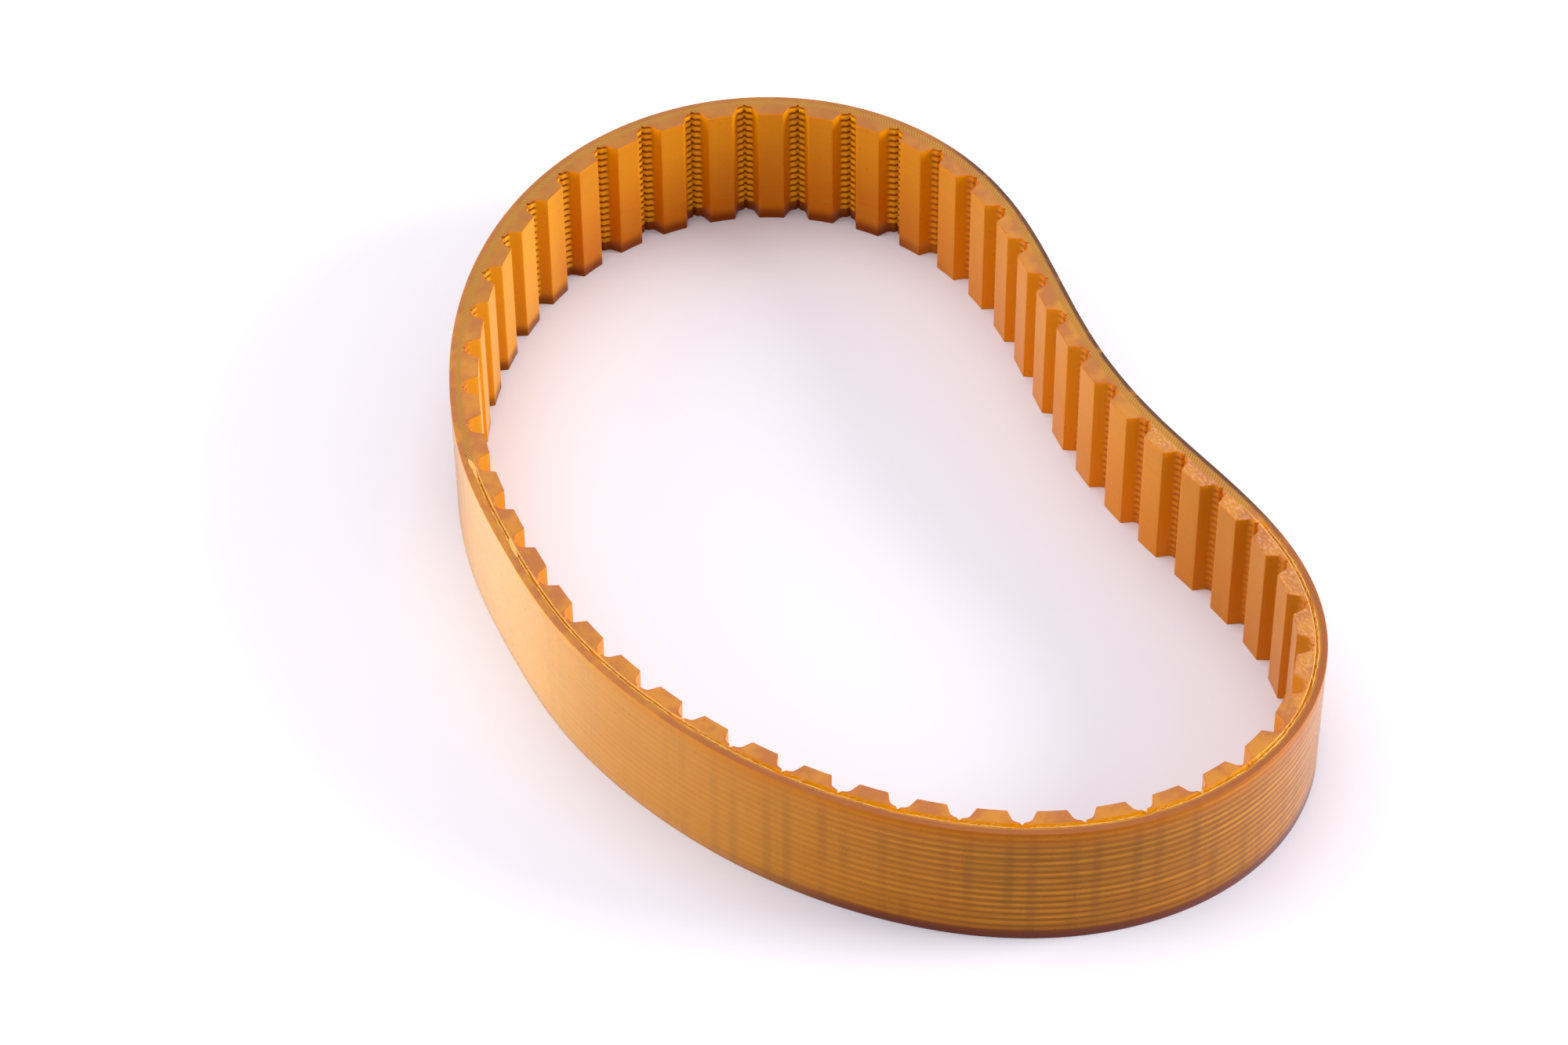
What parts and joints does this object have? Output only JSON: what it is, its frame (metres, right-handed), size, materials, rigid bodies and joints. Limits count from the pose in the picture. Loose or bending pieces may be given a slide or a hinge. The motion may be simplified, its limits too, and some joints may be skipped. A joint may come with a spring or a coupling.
{
  "type": "toothed drive belt",
  "caption": "Endless toothed drive belt of amber polyurethane over golden tension cords, standing on its cut edge as a free, dented oval loop.",
  "frame": {"origin": "centre of the loop's bounding box on the surface that the belt stands on", "axes": "+Z across the belt's width, +Y along the loop's longest extent, +X towards the dented side"},
  "size_m": [0.1192, 0.192, 0.025],
  "materials": {
    "polyurethane": "glossy translucent amber casting",
    "cord": "golden twisted aramid yarn"
  },
  "bodies": {
    "link_01": {"belt_link_01": "polyurethane", "cord_turns_01": "cord"},
    "link_02": {"belt_link_02": "polyurethane", "cord_turns_02": "cord"},
    "link_03": {"belt_link_03": "polyurethane", "cord_turns_03": "cord"},
    "link_04": {"belt_link_04": "polyurethane", "cord_turns_04": "cord"},
    "link_05": {"belt_link_05": "polyurethane", "cord_turns_05": "cord"},
    "link_06": {"belt_link_06": "polyurethane", "cord_turns_06": "cord"},
    "link_07": {"belt_link_07": "polyurethane", "cord_turns_07": "cord"},
    "link_08": {"belt_link_08": "polyurethane", "cord_turns_08": "cord"},
    "link_09": {"belt_link_09": "polyurethane", "cord_turns_09": "cord"},
    "link_10": {"belt_link_10": "polyurethane", "cord_turns_10": "cord"},
    "link_11": {"belt_link_11": "polyurethane", "cord_turns_11": "cord"},
    "link_12": {"belt_link_12": "polyurethane", "cord_turns_12": "cord"},
    "link_13": {"belt_link_13": "polyurethane", "cord_turns_13": "cord"},
    "link_14": {"belt_link_14": "polyurethane", "cord_turns_14": "cord"},
    "link_15": {"belt_link_15": "polyurethane", "cord_turns_15": "cord"},
    "link_16": {"belt_link_16": "polyurethane", "cord_turns_16": "cord"},
    "link_17": {"belt_link_17": "polyurethane", "cord_turns_17": "cord"},
    "link_18": {"belt_link_18": "polyurethane", "cord_turns_18": "cord"},
    "link_19": {"belt_link_19": "polyurethane", "cord_turns_19": "cord"},
    "link_20": {"belt_link_20": "polyurethane", "cord_turns_20": "cord"},
    "link_21": {"belt_link_21": "polyurethane", "cord_turns_21": "cord"},
    "link_22": {"belt_link_22": "polyurethane", "cord_turns_22": "cord"},
    "link_23": {"belt_link_23": "polyurethane", "cord_turns_23": "cord"},
    "link_24": {"belt_link_24": "polyurethane", "cord_turns_24": "cord"},
    "link_25": {"belt_link_25": "polyurethane", "cord_turns_25": "cord"}
  },
  "joints": [
    {"name": "flex_02", "type": "hinge", "parent": "link_01", "child": "link_02", "pos_m": [0.05205, 0.00286, 0.0125], "axis": [0, 0, 1], "range_deg": [-2.4, 9.5], "stiffness_Nm_per_rad": 0.5},
    {"name": "flex_03", "type": "hinge", "parent": "link_02", "child": "link_03", "pos_m": [0.0552, 0.0226, 0.0125], "axis": [0, 0, 1], "range_deg": [-1.01, 3.95]},
    {"name": "flex_04", "type": "hinge", "parent": "link_03", "child": "link_04", "pos_m": [0.05795, 0.04239, 0.0125], "axis": [0, 0, 1], "range_deg": [-2.2, 0.57]},
    {"name": "flex_05", "type": "hinge", "parent": "link_04", "child": "link_05", "pos_m": [0.05573, 0.06216, 0.0125], "axis": [0, 0, 1], "range_deg": [-4.87, 1.24]},
    {"name": "flex_06", "type": "hinge", "parent": "link_05", "child": "link_06", "pos_m": [0.04608, 0.0795, 0.0125], "axis": [0, 0, 1], "range_deg": [-2.85, 0.73]},
    {"name": "flex_07", "type": "hinge", "parent": "link_06", "child": "link_07", "pos_m": [0.02994, 0.09101, 0.0125], "axis": [0, 0, 1], "range_deg": [-0.43, 1.67]},
    {"name": "flex_08", "type": "hinge", "parent": "link_07", "child": "link_08", "pos_m": [0.0104, 0.09444, 0.0125], "axis": [0, 0, 1], "range_deg": [-1.19, 4.69]},
    {"name": "flex_09", "type": "hinge", "parent": "link_08", "child": "link_09", "pos_m": [-0.00893, 0.08979, 0.0125], "axis": [0, 0, 1], "range_deg": [-0.83, 3.24]},
    {"name": "flex_10", "type": "hinge", "parent": "link_09", "child": "link_10", "pos_m": [-0.02564, 0.07894, 0.0125], "axis": [0, 0, 1], "range_deg": [-1.93, 0.5]},
    {"name": "flex_11", "type": "hinge", "parent": "link_10", "child": "link_11", "pos_m": [-0.03895, 0.06407, 0.0125], "axis": [0, 0, 1], "range_deg": [-6.9, 1.75]},
    {"name": "flex_12", "type": "hinge", "parent": "link_11", "child": "link_12", "pos_m": [-0.04868, 0.04663, 0.0125], "axis": [0, 0, 1], "range_deg": [-8.46, 2.15]},
    {"name": "flex_13", "type": "hinge", "parent": "link_12", "child": "link_13", "pos_m": [-0.05487, 0.02764, 0.0125], "axis": [0, 0, 1], "range_deg": [-5.71, 1.45]},
    {"name": "flex_25", "type": "hinge", "parent": "link_01", "child": "link_25", "pos_m": [0.05205, -0.01711, 0.0125], "axis": [0, 0, -1], "range_deg": [-2.18, 8.57]},
    {"name": "flex_24", "type": "hinge", "parent": "link_25", "child": "link_24", "pos_m": [0.05454, -0.03695, 0.0125], "axis": [0, 0, -1], "range_deg": [-0.55, 2.14]},
    {"name": "flex_23", "type": "hinge", "parent": "link_24", "child": "link_23", "pos_m": [0.05493, -0.05689, 0.0125], "axis": [0, 0, -1], "range_deg": [-3.69, 0.94]},
    {"name": "flex_22", "type": "hinge", "parent": "link_23", "child": "link_22", "pos_m": [0.04838, -0.07561, 0.0125], "axis": [0, 0, -1], "range_deg": [-6.64, 1.69]},
    {"name": "flex_21", "type": "hinge", "parent": "link_22", "child": "link_21", "pos_m": [0.03395, -0.08914, 0.0125], "axis": [0, 0, -1], "range_deg": [-6.33, 1.61]},
    {"name": "flex_20", "type": "hinge", "parent": "link_21", "child": "link_20", "pos_m": [0.01485, -0.09445, 0.0125], "axis": [0, 0, -1], "range_deg": [-4.14, 1.06]},
    {"name": "flex_19", "type": "hinge", "parent": "link_20", "child": "link_19", "pos_m": [-0.00477, -0.0913, 0.0125], "axis": [0, 0, -1], "range_deg": [-1.66, 0.43]},
    {"name": "flex_18", "type": "hinge", "parent": "link_19", "child": "link_18", "pos_m": [-0.02209, -0.08146, 0.0125], "axis": [0, 0, -1], "range_deg": [-0.22, 0.82]},
    {"name": "flex_17", "type": "hinge", "parent": "link_18", "child": "link_17", "pos_m": [-0.03609, -0.06725, 0.0125], "axis": [0, 0, -1], "range_deg": [-0.72, 2.79]},
    {"name": "flex_16", "type": "hinge", "parent": "link_17", "child": "link_16", "pos_m": [-0.04676, -0.05037, 0.0125], "axis": [0, 0, -1], "range_deg": [-1.4, 5.5]},
    {"name": "flex_15", "type": "hinge", "parent": "link_16", "child": "link_15", "pos_m": [-0.05396, -0.03175, 0.0125], "axis": [0, 0, -1], "range_deg": [-1.83, 7.18]},
    {"name": "flex_14", "type": "hinge", "parent": "link_15", "child": "link_14", "pos_m": [-0.05756, -0.0121, 0.0125], "axis": [0, 0, -1], "range_deg": [-1.35, 5.29]}
  ],
  "couplings": [
    {"joint": "flex_03", "follows": "flex_02", "ratio": 0.41423},
    {"joint": "flex_04", "follows": "flex_02", "ratio": -0.23},
    {"joint": "flex_05", "follows": "flex_02", "ratio": -0.5109},
    {"joint": "flex_06", "follows": "flex_02", "ratio": -0.29894},
    {"joint": "flex_07", "follows": "flex_02", "ratio": 0.17397},
    {"joint": "flex_08", "follows": "flex_02", "ratio": 0.49162},
    {"joint": "flex_09", "follows": "flex_02", "ratio": 0.33908},
    {"joint": "flex_10", "follows": "flex_02", "ratio": -0.20148},
    {"joint": "flex_11", "follows": "flex_02", "ratio": -0.72448},
    {"joint": "flex_12", "follows": "flex_02", "ratio": -0.88843},
    {"joint": "flex_13", "follows": "flex_02", "ratio": -0.59939},
    {"joint": "flex_25", "follows": "flex_02", "ratio": 0.90083},
    {"joint": "flex_24", "follows": "flex_02", "ratio": 0.22385},
    {"joint": "flex_23", "follows": "flex_02", "ratio": -0.38642},
    {"joint": "flex_22", "follows": "flex_02", "ratio": -0.69705},
    {"joint": "flex_21", "follows": "flex_02", "ratio": -0.66431},
    {"joint": "flex_20", "follows": "flex_02", "ratio": -0.43373},
    {"joint": "flex_19", "follows": "flex_02", "ratio": -0.17356},
    {"joint": "flex_18", "follows": "flex_02", "ratio": 0.085},
    {"joint": "flex_17", "follows": "flex_02", "ratio": 0.29254},
    {"joint": "flex_16", "follows": "flex_02", "ratio": 0.57775},
    {"joint": "flex_15", "follows": "flex_02", "ratio": 0.75455},
    {"joint": "flex_14", "follows": "flex_02", "ratio": 0.55531}
  ]
}
